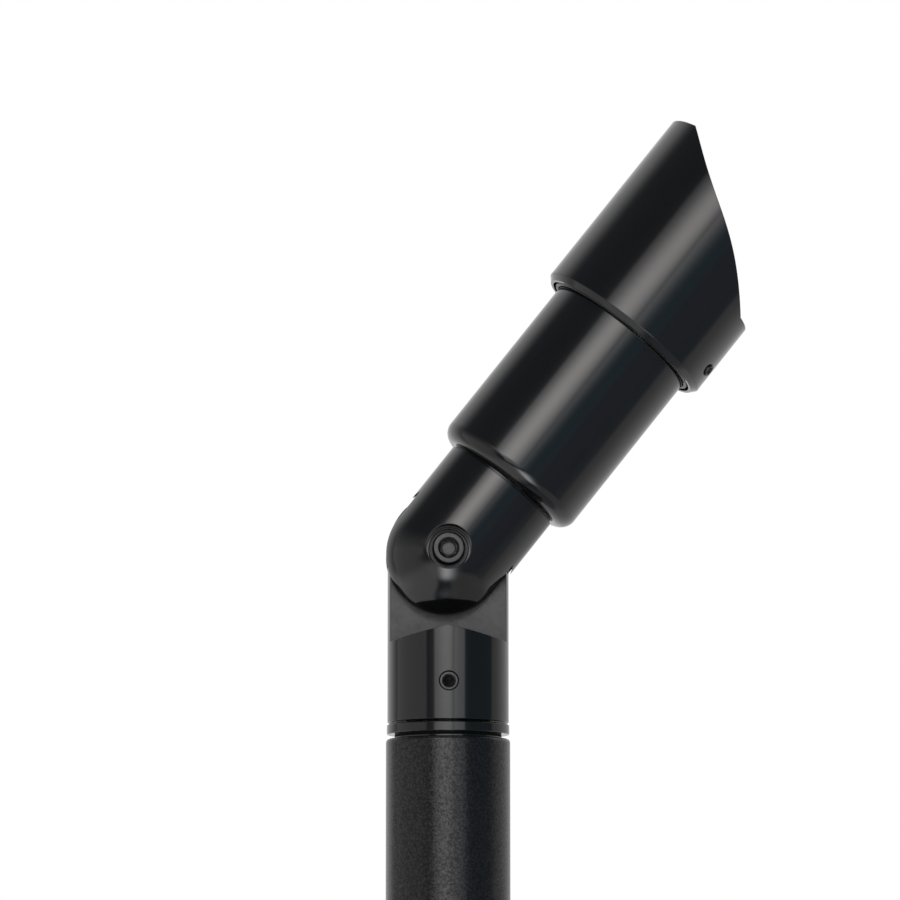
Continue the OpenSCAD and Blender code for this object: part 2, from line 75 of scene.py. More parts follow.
# How far a face, edge or corner may lie off the place that it is picked at
NEARLY = 0.01 * MM
# Sides of a turned piece
TURNED_SIDES = 96
# Steepest turn between two faces that still shades smooth
SMOOTH_TURN = math.radians(32.0)
# Pivot screw's rounded rim, chamfered end and socket depth, in millimetres
HEAD_ROUNDING = 0.7
END_CHAMFER = 0.6
SOCKET_DEPTH = 3.1
# Rounding of the spike's edges, and how far its tang reaches down into the blades
SPIKE_ROUNDING = 0.5 * MM
TANG_SUNK = 0.8 * MM

# Band of the adaptor's neck painted near black and rough as shade in the gap under the ring, measured up from the
# pole's top
NECK_LOW = 0.5 * MM
NECK_HIGH = 1.35 * MM
# The tongue's flats lie this near the middle plane, and end this far below the pivot
FLATS_APART = 6.0 * MM
FLATS_DROP = 30.0 * MM
# Reach of the shadow that the dome throws on the flats
FLATS_SHADOW = 6.0 * MM
# Width of the dark lines along the edges of the flats
FLATS_EDGE = 0.45 * MM
# Depth of the orange peel in the gloss coat, and of the lines on turned metal
PEEL_DEPTH = 0.012 * MM
LINE_DEPTH = 0.004 * MM

# Key light: its height and its turn from straight ahead, and how wide it looks, in degrees
KEY_HEIGHT = 43.0
KEY_TURN = 3.0
KEY_WIDTH = 5.0
# The floor's side, and the distances between which it fades to white, in metres
FLOOR_SIDE = 8.0
FLOOR_FADE = (0.5, 2.2)

JOINTS = {joint["name"]: joint for joint in frame["joints"]}
PIVOT = Vector(JOINTS["knuckle_tilt"]["pos_m"])
HEAD_AXIS = Vector(JOINTS["hood_turn"]["axis"]).normalized()
NEAR = Vector((0.0, -1.0, 0.0))
UP = Vector((0.0, 0.0, 1.0))


def node_low(node):
    """Lowest corner of a CAD node's box, in metres."""
    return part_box(node)[0]


def node_high(node):
    """Highest corner of a CAD node's box, in metres."""
    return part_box(node)[1]


def frame_at(origin, along, side):
    """Matrix that turns local +Z to along and local +X towards side, with its origin at origin."""
    z = Vector(along).normalized()
    y = z.cross(Vector(side)).normalized()
    x = y.cross(z)
    return Matrix.Translation(Vector(origin)) @ Matrix((x, y, z)).transposed().to_4x4()


HEAD = frame_at(PIVOT, HEAD_AXIS, UP.cross(HEAD_AXIS).cross(HEAD_AXIS))


# Settings


class FinishSettings(bpy.types.PropertyGroup):
    gloss_colour: bpy.props.FloatVectorProperty(
        name="Gloss black",
        description="Colour of the gloss black coat on the lamp and stem",
        subtype="COLOR",
        default=(0.0014, 0.0015, 0.0017),
        min=0.0,
        max=1.0,
    )
    gloss_roughness: bpy.props.FloatProperty(
        name="Gloss roughness",
        description="Roughness of the gloss black coat",
        subtype="FACTOR",
        default=0.09,
        min=0.0,
        max=1.0,
    )
    flat_colour: bpy.props.FloatVectorProperty(
        name="Tongue flats",
        description="Colour of the worn matte flats on the stem's tongue",
        subtype="COLOR",
        default=(0.07, 0.07, 0.0705),
        min=0.0,
        max=1.0,
    )
    pole_colour: bpy.props.FloatVectorProperty(
        name="Pole black",
        description="Colour of the textured coat on the pole",
        subtype="COLOR",
        default=(0.0026, 0.0027, 0.003),
        min=0.0,
        max=1.0,
    )
    pole_roughness: bpy.props.FloatProperty(
        name="Pole roughness",
        description="Roughness of the textured coat on the pole",
        subtype="FACTOR",
        default=0.24,
        min=0.0,
        max=1.0,
    )
    screw_colour: bpy.props.FloatVectorProperty(
        name="Dark screws",
        description="Colour of the blackened screws",
        subtype="COLOR",
        default=(0.07, 0.07, 0.071),
        min=0.0,
        max=1.0,
    )
    edge_break: bpy.props.FloatProperty(
        name="Edge break",
        description="Width of the small rounding that the finishes give to sharp edges",
        subtype="DISTANCE",
        unit="LENGTH",
        default=0.25 * MM,
        min=0.0,
        max=1.0 * MM,
    )


class ScrewSettings(bpy.types.PropertyGroup):
    head_height: bpy.props.FloatProperty(
        name="Head height",
        description="Height of the pivot screw's head",
        subtype="DISTANCE",
        unit="LENGTH",
        default=5.0 * MM,
        min=1.0 * MM,
        max=8.0 * MM,
    )
    shank: bpy.props.FloatProperty(
        name="Shank",
        description="Diameter of the pivot screw's shank",
        subtype="DISTANCE",
        unit="LENGTH",
        default=6.0 * MM,
        min=3.0 * MM,
        max=9.0 * MM,
    )
    pivot_socket: bpy.props.FloatProperty(
        name="Pivot socket",
        description="Width across the flats of the pivot screw's socket",
        subtype="DISTANCE",
        unit="LENGTH",
        default=5.0 * MM,
        min=2.0 * MM,
        max=7.0 * MM,
    )
    blade: bpy.props.FloatProperty(
        name="Blade",
        description="Thickness of the spike's blades",
        subtype="DISTANCE",
        unit="LENGTH",
        default=4.0 * MM,
        min=2.0 * MM,
        max=8.0 * MM,
    )
    tang: bpy.props.FloatProperty(
        name="Tang",
        description="Diameter of the spike's round tang",
        subtype="DISTANCE",
        unit="LENGTH",
        default=16.0 * MM,
        min=8.0 * MM,
        max=24.0 * MM,
    )


class StudioSettings(bpy.types.PropertyGroup):
    lens: bpy.props.FloatProperty(
        name="Lens",
        description="Focal length of the camera in millimetres, on a 36 mm sensor",
        default=180.61,
        min=35.0,
        max=400.0,
    )
    camera_place: bpy.props.FloatVectorProperty(
        name="Camera place",
        description="Where the camera stands",
        subtype="TRANSLATION",
        unit="LENGTH",
        default=(-0.0206, -1.3846, 0.1023),
    )
    camera_target: bpy.props.FloatVectorProperty(
        name="Camera target",
        description="The point that the camera looks at",
        subtype="TRANSLATION",
        unit="LENGTH",
        default=(0.00059, 0.0, 0.2896),
    )
    key_strength: bpy.props.FloatProperty(
        name="Key",
        description="Strength of the soft key light from above the near side",
        default=1.7,
        min=0.0,
        max=20.0,
    )
    floor_colour: bpy.props.FloatVectorProperty(
        name="Floor",
        description="Colour of the pale floor",
        subtype="COLOR",
        default=(0.82, 0.82, 0.82),
        min=0.0,
        max=1.0,
    )


# Node helpers


class Graph:
    """Adds nodes to one node tree and links them by socket name."""

    def __init__(self, tree):
        self.tree = tree

    def add(self, kind, inputs=None, **fields):
        """New node with its fields and inputs set."""
        node = self.tree.nodes.new(kind)
        for key, value in fields.items():
            setattr(node, key, value)
        for key, value in (inputs or {}).items():
            self.put(node.inputs[key], value)
        return node

    def put(self, socket, value):
        """Link an output to a socket, or set the socket's own value."""
        if isinstance(value, bpy.types.NodeSocket):
            self.tree.links.new(value, socket)
        else:
            socket.default_value = value

    def math(self, operation, a, b=0.0):
        return self.add("ShaderNodeMath", {0: a, 1: b}, operation=operation).outputs[0]

    def ramp(self, value, low, high, out_low=0.0, out_high=1.0):
        """Smooth step of value between low and high."""
        inputs = {"Value": value, "From Min": low, "From Max": high, "To Min": out_low, "To Max": out_high}
        node = self.add("ShaderNodeMapRange", inputs, interpolation_type="SMOOTHSTEP")
        return node.outputs["Result"]

    def mix(self, share, a, b):
        """Colour a where share is 0, b where it is 1."""
        node = self.add("ShaderNodeMix", data_type="RGBA")
        self.put(node.inputs[0], share)
        self.put(node.inputs[6], a)
        self.put(node.inputs[7], b)
        return node.outputs[2]

    def mix_value(self, share, a, b):
        """Value a where share is 0, b where it is 1."""
        return self.add("ShaderNodeMix", {0: share, 2: a, 3: b}).outputs[0]

    def add_scaled(self, colour, share, radiance):
        """Colour plus radiance times share."""
        inputs = {0: radiance, 1: share, 2: colour}
        return self.add("ShaderNodeVectorMath", inputs, operation="MULTIPLY_ADD").outputs["Vector"]

    def noise(self, scale, detail, roughness, vector):
        inputs = {"Scale": scale, "Detail": detail, "Roughness": roughness, "Vector": vector}
        return self.add("ShaderNodeTexNoise", inputs).outputs["Fac"]

    def place(self):
        """Object coordinates."""
        return self.add("ShaderNodeTexCoord").outputs["Object"]


def grey(level):
    return (level, level, level, 1.0)


def rgba(colour):
    return (colour[0], colour[1], colour[2], 1.0)


def scaled(colour, factor):
    return (colour[0] * factor, colour[1] * factor, colour[2] * factor, 1.0)


# Finishes


def new_finish(name):
    """A material with one Principled shader, as (material, graph, shader)."""
    material = bpy.data.materials.new(name)
    material.use_nodes = True
    graph = Graph(material.node_tree)
    return material, graph, material.node_tree.nodes["Principled BSDF"]


def edge_normal(graph, radius):
    """Normal with its sharp edges rounded by radius."""
    return graph.add("ShaderNodeBevel", {"Radius": radius}, samples=4).outputs["Normal"]


def edge_share(graph, radius):
    """1 on the sharp edges, falling to 0 within radius of them."""
    facing = graph.add("ShaderNodeNewGeometry").outputs["Normal"]
    inputs = {0: edge_normal(graph, radius), 1: facing}
    agree = graph.add("ShaderNodeVectorMath", inputs, operation="DOT_PRODUCT").outputs["Value"]
    return graph.ramp(agree, 0.93, 0.99, 1.0, 0.0)


def sky_share(graph, distance, lift):
    """Share of open directions round the normal, which is turned upwards by lift."""
    facing = graph.add("ShaderNodeNewGeometry").outputs["Normal"]
    raised = graph.add("ShaderNodeVectorMath", {0: facing, 1: (0.0, 0.0, lift)}, operation="ADD").outputs[0]
    turned = graph.add("ShaderNodeVectorMath", {0: raised}, operation="NORMALIZE").outputs[0]
    inputs = {"Distance": distance, "Normal": turned}
    return graph.add("ShaderNodeAmbientOcclusion", inputs, samples=16).outputs["AO"]


def bump(graph, height, distance, edge_break):
    """Normal with bumps of a given depth, on edges rounded by edge_break."""
    inputs = {
        "Height": height,
        "Distance": distance,
        "Strength": 0.5,
        "Normal": edge_normal(graph, edge_break),
    }
    return graph.add("ShaderNodeBump", inputs).outputs["Normal"]


def dust(graph, place, scale, size):
    """Mask of rare round specks."""
    cells = graph.add("ShaderNodeTexVoronoi", {"Vector": place, "Scale": scale}, feature="F1")
    chosen = graph.math("GREATER_THAN", cells.outputs["Color"], 0.86)
    near = graph.math("LESS_THAN", cells.outputs["Distance"], size)
    return graph.math("MULTIPLY", chosen, near)


def fuller_dome(graph, normal):
    """Normal of the arm's dome, turned a little outwards where the dome closes in below the knuckle."""
    facing = graph.add("ShaderNodeTexCoord").outputs["Normal"]
    apart = graph.add("ShaderNodeSeparateXYZ", {0: facing}).outputs
    below = graph.ramp(graph.math("MULTIPLY", apart["Z"], -1.0), 0.5, 0.8, 0.0, 0.95)
    shift = graph.add("ShaderNodeCombineXYZ", {"Y": graph.math("MULTIPLY", apart["Y"], below)}).outputs[0]
    turned = graph.add(
        "ShaderNodeVectorTransform", {0: shift},
        vector_type="VECTOR", convert_from="OBJECT", convert_to="WORLD",
    ).outputs[0]
    total = graph.add("ShaderNodeVectorMath", {0: normal, 1: turned}, operation="ADD").outputs[0]
    return graph.add("ShaderNodeVectorMath", {0: total}, operation="NORMALIZE").outputs[0]


def worn_flats_with_painted_shadow(graph, settings, place, colour, rough):
    """Colour, roughness and specular level with worn tongue flats, dark at their edges, with a painted shadow of
    the dome on them.
    """
    flat = settings.flat_colour
    mask, ledges = flat_mask(graph, place)
    lines = graph.add("ShaderNodeMapping", {"Vector": place, "Scale": (60.0, 1.0, 2600.0)}).outputs[0]
    worn = graph.mix(graph.noise(1.0, 3.0, 0.6, lines), scaled(flat, 0.84), scaled(flat, 1.16))
    clouds = graph.noise(420.0, 3.0, 0.6, place)
    worn = graph.mix(graph.ramp(clouds, 0.4, 0.7, 0.0, 0.4), worn, scaled(flat, 0.6))
    # Painted shadow of the dome: the flats turn near black and lose most of their reflection where the dome hides
    # the sky above them; the ledges are left out.
    open_sky = graph.math("MAXIMUM", graph.ramp(sky_share(graph, FLATS_SHADOW, 1.2), 0.55, 0.67), ledges)
    worn = graph.mix(open_sky, scaled(flat, 0.1), worn)
    worn = graph.mix(edge_share(graph, FLATS_EDGE), worn, scaled(flat, 0.2))
    dull_and_shaded_level = graph.add("ShaderNodeMath", {0: open_sky, 1: 0.1, 2: 0.02}, operation="MULTIPLY_ADD").outputs[0]
    colour = graph.mix(mask, colour, worn)
    return colour, graph.mix_value(mask, rough, 0.5), graph.mix_value(mask, 0.5, dull_and_shaded_level)


def neck_painted_shade(graph, place, colour, rough):
    """Colour, roughness and specular level with painted shade on the neck between the pole and the ring: near
    black, rough and weakly reflecting.
    """
    height = graph.add("ShaderNodeSeparateXYZ", {0: place}).outputs["Z"]
    rise = graph.math("SUBTRACT", height, node_high("pole_tube").z)
    above = graph.math("GREATER_THAN", rise, NECK_LOW)
    mask = graph.math("MULTIPLY", graph.math("LESS_THAN", rise, NECK_HIGH), above)
    # Painted shade: the neck in the gap under the ring is made near black, rough and weakly reflecting.
    colour = graph.mix(mask, colour, grey(0.0008))
    return colour, graph.mix_value(mask, rough, 0.8), graph.mix_value(mask, 0.5, 0.2)


def gloss_coat(settings, name="gloss_black", flats=False, neck=False, dome=False):
    """Gloss black coat with a little orange peel and dust, and where asked the worn flats with a painted shadow of
    the dome, or the neck in painted shade.
    """
    material, graph, shader = new_finish(name)
    place = graph.place()
    wander = graph.noise(90.0, 3.0, 0.55, place)
    rough = graph.ramp(wander, 0.3, 0.7, settings.gloss_roughness * 0.85, settings.gloss_roughness * 1.2)
    specks = dust(graph, place, 260.0, 0.035)
    colour = graph.mix(specks, rgba(settings.gloss_colour), (0.05, 0.05, 0.05, 1.0))
    peel = graph.noise(420.0, 2.0, 0.5, place)
    normal = bump(graph, peel, PEEL_DEPTH, settings.edge_break)
    if dome:
        normal = fuller_dome(graph, normal)
    if flats:
        colour, rough, level = worn_flats_with_painted_shadow(graph, settings, place, colour, rough)
        graph.put(shader.inputs["Specular IOR Level"], level)
    if neck:
        colour, rough, level = neck_painted_shade(graph, place, colour, rough)
        graph.put(shader.inputs["Specular IOR Level"], level)
    graph.put(shader.inputs["Base Color"], colour)
    graph.put(shader.inputs["Roughness"], rough)
    graph.put(shader.inputs["Normal"], normal)
    shader.inputs["IOR"].default_value = 1.5
    return material


def flat_mask(graph, place):
    """Masks of the stem's two tongue flats with the ledges below them, and of the ledges alone."""
    normal = graph.add("ShaderNodeTexCoord").outputs["Normal"]
    facing = graph.add("ShaderNodeSeparateXYZ", {0: normal})
    sides = graph.math("GREATER_THAN", graph.math("ABSOLUTE", facing.outputs["Y"]), 0.9)
    ledges = graph.math("GREATER_THAN", facing.outputs["Z"], 0.9)
    apart = graph.add("ShaderNodeSeparateXYZ", {0: place})
    inner = graph.math("LESS_THAN", graph.math("ABSOLUTE", apart.outputs["Y"]), FLATS_APART)
    above = graph.math("GREATER_THAN", apart.outputs["Z"], PIVOT.z - FLATS_DROP)
    flats = graph.math("MULTIPLY", sides, inner)
    return graph.math("MULTIPLY", graph.math("MAXIMUM", flats, ledges), above), ledges


def textured_coat(settings, name, colour, roughness, grain=1400.0, height=0.07 * MM):
    """Fine textured powder coat."""
    material, graph, shader = new_finish(name)
    place = graph.place()
    grains = graph.noise(grain, 3.0, 0.6, place)
    broad = graph.noise(grain / 9.0, 2.0, 0.5, place)
    tone = graph.mix(broad, scaled(colour, 0.85), scaled(colour, 1.2))
    graph.put(shader.inputs["Base Color"], tone)
    graph.put(shader.inputs["Roughness"], graph.ramp(grains, 0.3, 0.7, roughness * 0.9, roughness * 1.15))
    normal = bump(graph, grains, height, settings.edge_break)
    graph.put(shader.inputs["Normal"], normal)
    graph.put(shader.inputs["Specular IOR Level"], graph.ramp(grains, 0.33, 0.67, 0.22, 0.52))
    shader.inputs["IOR"].default_value = 1.5
    return material


def plain_finish(
    settings, name, colour, roughness,
    metallic=0.0, grain=600.0, spread=0.15, height=0.01 * MM, painted_shade_reach=0.0, painted_shade_tone=0.12,
):
    """Plain solid finish with some variation, and with painted shade that darkens its recesses out to the given
    reach.
    """
    material, graph, shader = new_finish(name)
    place = graph.place()
    grains = graph.noise(grain, 3.0, 0.55, place)
    tone = graph.mix(grains, scaled(colour, 1.0 - spread), scaled(colour, 1.0 + spread))
    # Painted shade: the colour darkens in recesses, as far in as the reach given.
    if painted_shade_reach:
        recess = graph.ramp(sky_share(graph, painted_shade_reach, 0.0), 0.35, 0.95)
        tone = graph.mix(recess, scaled(colour, painted_shade_tone), tone)
    graph.put(shader.inputs["Base Color"], tone)
    graph.put(shader.inputs["Roughness"], graph.ramp(grains, 0.3, 0.7, roughness * 0.85, roughness * 1.15))
    normal = bump(graph, grains, height, settings.edge_break)
    graph.put(shader.inputs["Normal"], normal)
    shader.inputs["Metallic"].default_value = metallic
    return material


def turned_metal(settings, name, colour, roughness, along):
    """Bare metal with turning or drawing lines across the given axis."""
    material, graph, shader = new_finish(name)
    place = graph.place()
    rows = graph.add("ShaderNodeVectorMath", {0: place, 1: along}, operation="DOT_PRODUCT").outputs["Value"]
    lines = graph.add("ShaderNodeTexNoise", {"W": graph.math("MULTIPLY", rows, 4000.0), "Scale": 1.0},
                      noise_dimensions="1D").outputs["Fac"]
    tone = graph.mix(lines, scaled(colour, 0.9), scaled(colour, 1.06))
    graph.put(shader.inputs["Base Color"], tone)
    graph.put(shader.inputs["Roughness"], graph.ramp(lines, 0.3, 0.7, roughness * 0.85, roughness * 1.2))
    normal = bump(graph, lines, LINE_DEPTH, settings.edge_break)
    graph.put(shader.inputs["Normal"], normal)
    shader.inputs["Metallic"].default_value = 1.0
    return material


def clear_pane(name):
    """Clear front glass with faint smears."""
    material, graph, shader = new_finish(name)
    smear = graph.noise(60.0, 3.0, 0.6, graph.place())
    graph.put(shader.inputs["Roughness"], graph.ramp(smear, 0.45, 0.8, 0.0, 0.03))
    shader.inputs["Base Color"].default_value = (0.97, 0.99, 0.985, 1.0)
    shader.inputs["Transmission Weight"].default_value = 1.0
    shader.inputs["IOR"].default_value = 1.5
    return material


def phosphor_finish(name):
    """Yellow phosphor under a clear silicone skin, with the chips' faint grid."""
    material, graph, shader = new_finish(name)
    place = graph.place()
    cells = graph.add("ShaderNodeTexVoronoi", {"Vector": place, "Scale": 1400.0}).outputs["Distance"]
    tone = graph.mix(cells, (0.92, 0.62, 0.1, 1.0), (0.86, 0.7, 0.2, 1.0))
    graph.put(shader.inputs["Base Color"], tone)
    shader.inputs["Roughness"].default_value = 0.35
    shader.inputs["Coat Weight"].default_value = 0.4
    return material


def spike_finish(settings, name):
    """Coarser textured coat of the ground spike."""
    return textured_coat(settings, name, (0.012, 0.012, 0.013), 0.42, grain=500.0, height=0.08 * MM)


def make_finishes(settings):
    """One material for each of the record's slots, by slot name."""
    across = (0.0, 1.0, 0.0)
    head = tuple(HEAD_AXIS)
    return {
        "gloss_black": gloss_coat(settings),
        "textured_black": textured_coat(
            settings, "textured_black", settings.pole_colour, settings.pole_roughness
        ),
        "spike_black": spike_finish(settings, "spike_black"),
        "plug_plastic": plain_finish(settings, "plug_plastic", (0.012, 0.012, 0.013), 0.4),
        "seal_rubber": plain_finish(settings, "seal_rubber", (0.009, 0.009, 0.0095), 0.35),
        "driver_potting": plain_finish(settings, "driver_potting", (0.02, 0.02, 0.022), 0.5),
        "dark_screws": plain_finish(
            settings, "dark_screws", tuple(settings.screw_colour * 0.65), 0.36,
            metallic=1.0, grain=1500.0, spread=0.2, height=0.02 * MM,
        ),
        "bright_screws": turned_metal(settings, "bright_screws", (0.6, 0.6, 0.61), 0.28, head),
        "bare_aluminium": turned_metal(settings, "bare_aluminium", (0.75, 0.76, 0.77), 0.3, head),
        "lamp_board": plain_finish(
            settings, "lamp_board", (0.85, 0.85, 0.83), 0.35, grain=300.0, spread=0.02
        ),
        "phosphor": phosphor_finish("phosphor"),
        "reflector_silver": plain_finish(
            settings, "reflector_silver", (0.9, 0.9, 0.91), 0.08, metallic=1.0, grain=300.0, spread=0.02
        ),
        "nylon": plain_finish(settings, "nylon", (0.75, 0.75, 0.71), 0.45, grain=300.0, spread=0.04),
        "bronze": turned_metal(settings, "bronze", (0.55, 0.4, 0.2), 0.3, across),
        "clear_glass": clear_pane("clear_glass"),
    }


class LAMP_OT_finishes(bpy.types.Operator):
    """Give every CAD node the finish of its material slot"""

    bl_idname = "spotlight.finishes"
    bl_label = "Finishes"
    bl_options = {"REGISTER", "UNDO"}

    def execute(self, context):
        settings = context.scene.spotlight_finish
        finishes = make_finishes(settings)
        for part in frame["record"]["subparts"]:
            node = frame["nodes"][part["node"]]
            node.material_slots[0].material = finishes[part["material_slot"]]
        stem_coat = gloss_coat(settings, "stem_gloss", flats=True)
        frame["nodes"]["stem"].material_slots[0].material = stem_coat
        frame["nodes"]["arm"].material_slots[0].material = gloss_coat(settings, "arm_gloss", dome=True)
        neck_coat = gloss_coat(settings, "adaptor_gloss", neck=True)
        frame["nodes"]["pole_adaptor"].material_slots[0].material = neck_coat
        return {"FINISHED"}


# Modelling helpers


def deselect():
    """Leave edit mode with nothing selected."""
    if bpy.context.object and bpy.context.object.mode == "EDIT":
        bpy.ops.object.mode_set(mode="OBJECT")
    bpy.ops.object.select_all(action="DESELECT")


def rod(radius, low, high, sides=TURNED_SIDES):
    """A closed cylinder on the Z axis between two heights, in millimetres."""
    deselect()
    bpy.ops.mesh.primitive_cylinder_add(
        vertices=sides, radius=radius * MM, depth=(high - low) * MM,
        location=(0.0, 0.0, (low + high) / 2 * MM),
    )
    piece = bpy.context.object
    bpy.ops.object.transform_apply(location=True)
    return piece


def cone(low_radius, high_radius, low, high):
    """A closed cone on the Z axis between two heights, in millimetres."""
    deselect()
    bpy.ops.mesh.primitive_cone_add(
        vertices=TURNED_SIDES, radius1=low_radius * MM, radius2=high_radius * MM,
        depth=(high - low) * MM, location=(0.0, 0.0, (low + high) / 2 * MM),
    )
    piece = bpy.context.object
    bpy.ops.object.transform_apply(location=True)
    return piece


def edit(piece, mode):
    """Open a piece in edit mode, to select by face or edge, with nothing selected."""
    deselect()
    piece.select_set(True)
    bpy.context.view_layer.objects.active = piece
    bpy.ops.object.mode_set(mode="EDIT")
    bpy.ops.mesh.select_mode(type=mode)
    bpy.ops.mesh.select_all(action="DESELECT")


def pick_face(height, up):
    """Select the flat faces at a height in millimetres that look up or down."""
    mesh = bmesh.from_edit_mesh(bpy.context.object.data)
    for face in mesh.faces:
        level = abs(face.calc_center_median().z - height * MM) < NEARLY
        face.select_set(level and (face.normal.z > 0.9 if up else face.normal.z < -0.9))
    bmesh.update_edit_mesh(bpy.context.object.data)


def pick_rim(height):
    """Select the edges that lie at a height in millimetres and border a side wall."""
    mesh = bmesh.from_edit_mesh(bpy.context.object.data)
    for edge in mesh.edges:
        level = all(abs(corner.co.z - height * MM) < NEARLY for corner in edge.verts)
        edge.select_set(level and any(abs(face.normal.z) < 0.5 for face in edge.link_faces))
    bmesh.update_edit_mesh(bpy.context.object.data)


def round_rim(piece, height, width, segments):
    """Round the rim of a turned piece at a height, in millimetres."""
    edit(piece, "EDGE")
    pick_rim(height)
    bpy.ops.mesh.bevel(offset=width * MM, segments=segments, affect="EDGES")
    deselect()


def apply_modifier(piece, kind, **fields):
    """Change a piece's mesh by one modifier."""
    deselect()
    piece.select_set(True)
    bpy.context.view_layer.objects.active = piece
    modifier = piece.modifiers.new("step", kind)
    for key, value in fields.items():
        setattr(modifier, key, value)
    bpy.ops.object.modifier_apply(modifier=modifier.name)


def combine(piece, other, operation):
    """Cut the other piece away or join it on, and remove it."""
    apply_modifier(piece, "BOOLEAN", object=other, operation=operation, solver="EXACT")
    bpy.data.objects.remove(other, do_unlink=True)


def settle(piece, name, matrix):
    """Move a finished piece to its place with its object back at the origin."""
    deselect()
    piece.select_set(True)
    bpy.context.view_layer.objects.active = piece
    piece.matrix_world = matrix
    bpy.ops.object.transform_apply(location=True, rotation=True, scale=True)
    bpy.ops.object.mode_set(mode="EDIT")
    bpy.ops.mesh.select_all(action="SELECT")
    bpy.ops.mesh.remove_doubles(threshold=0.000001)
    bpy.ops.mesh.normals_make_consistent(inside=False)
    bpy.ops.object.mode_set(mode="OBJECT")
    bpy.ops.object.shade_smooth_by_angle(angle=SMOOTH_TURN)
    piece.name = name
    piece.data.name = name
    return piece


def hand_over(piece, node, finish):
    """Put a piece in a CAD node's stead, with its finish and on its body."""
    bodies = frame["record"]["behaviour"]["bodies"]
    body = next(name for name, members in bodies.items() if node in members)
    piece.data.materials.clear()
    piece.data.materials.append(finish)
    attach(piece, body)
    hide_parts(node)


def cut_socket(piece, flats, face, depth):
    """Cut a chamfered hexagon socket with a drilled bottom into the face at the top, in millimetres."""
    corner = flats / 2 / math.cos(math.radians(30.0))
    combine(piece, rod(corner, face - depth, face + 1.0, sides=6), "DIFFERENCE")
    combine(piece, cone(corner - 0.6, corner + 1.4, face - 1.0, face + 1.0), "DIFFERENCE")
    combine(piece, cone(0.02, flats * 0.44, face - depth - flats * 0.2, face - depth + 0.01), "DIFFERENCE")


# Fasteners and spike


def screw_finish(context, name, roughness, painted_shade_reach, painted_shade_tone):
    """Blackened steel, with painted shade that darkens its recesses."""
    settings = context.scene.spotlight_finish
    return plain_finish(
        settings, name, settings.screw_colour, roughness,
        metallic=1.0, grain=1500.0, spread=0.25, height=0.02 * MM, painted_shade_reach=painted_shade_reach, painted_shade_tone=painted_shade_tone,
    )


class LAMP_OT_pivot_screw(bpy.types.Operator):
    """Model the knuckle's cap screw with its rounded head and hexagon socket"""

    bl_idname = "spotlight.pivot_screw"
    bl_label = "Pivot screw"
    bl_options = {"REGISTER", "UNDO"}

    def execute(self, context):
        settings = context.scene.spotlight_screw
        low, high = node_low("pivot_screw"), node_high("pivot_screw")
        length = (high.y - low.y) / MM
        head_r = (high.z - low.z) / 2 / MM
        seat = length - settings.head_height / MM
        shank_r = settings.shank / 2 / MM
        piece = rod(head_r, seat, length)
        edit(piece, "FACE")
        pick_face(seat, False)
        bpy.ops.mesh.inset(thickness=(head_r - shank_r) * MM)
        bpy.ops.mesh.extrude_region_move(TRANSFORM_OT_translate={"value": (0.0, 0.0, -seat * MM)})
        deselect()
        round_rim(piece, length, HEAD_ROUNDING, 6)
        round_rim(piece, 0.0, END_CHAMFER, 1)
        cut_socket(piece, settings.pivot_socket / MM, length, SOCKET_DEPTH)
        settle(piece, "cap_screw", frame_at((PIVOT.x, high.y, PIVOT.z), NEAR, HEAD_AXIS))
        finish = screw_finish(context, "blackened_head", 0.46, painted_shade_reach=1.6 * MM, painted_shade_tone=0.5)
        hand_over(piece, "pivot_screw", finish)
        return {"FINISHED"}


def grub_screw(name, node, tip, along, length, radius, socket, finish):
    """Model a headless screw from its tip, in metres, along a direction."""
    piece = rod(radius, 0.0, length)
    round_rim(piece, 0.0, radius * 0.3, 1)
    round_rim(piece, length, radius * 0.14, 3)
    cut_socket(piece, socket, length, socket * 0.9)
    settle(piece, name, frame_at(tip, along, UP if abs(Vector(along).z) < 0.9 else NEAR))
    if node:
        hand_over(piece, node, finish)
    return piece


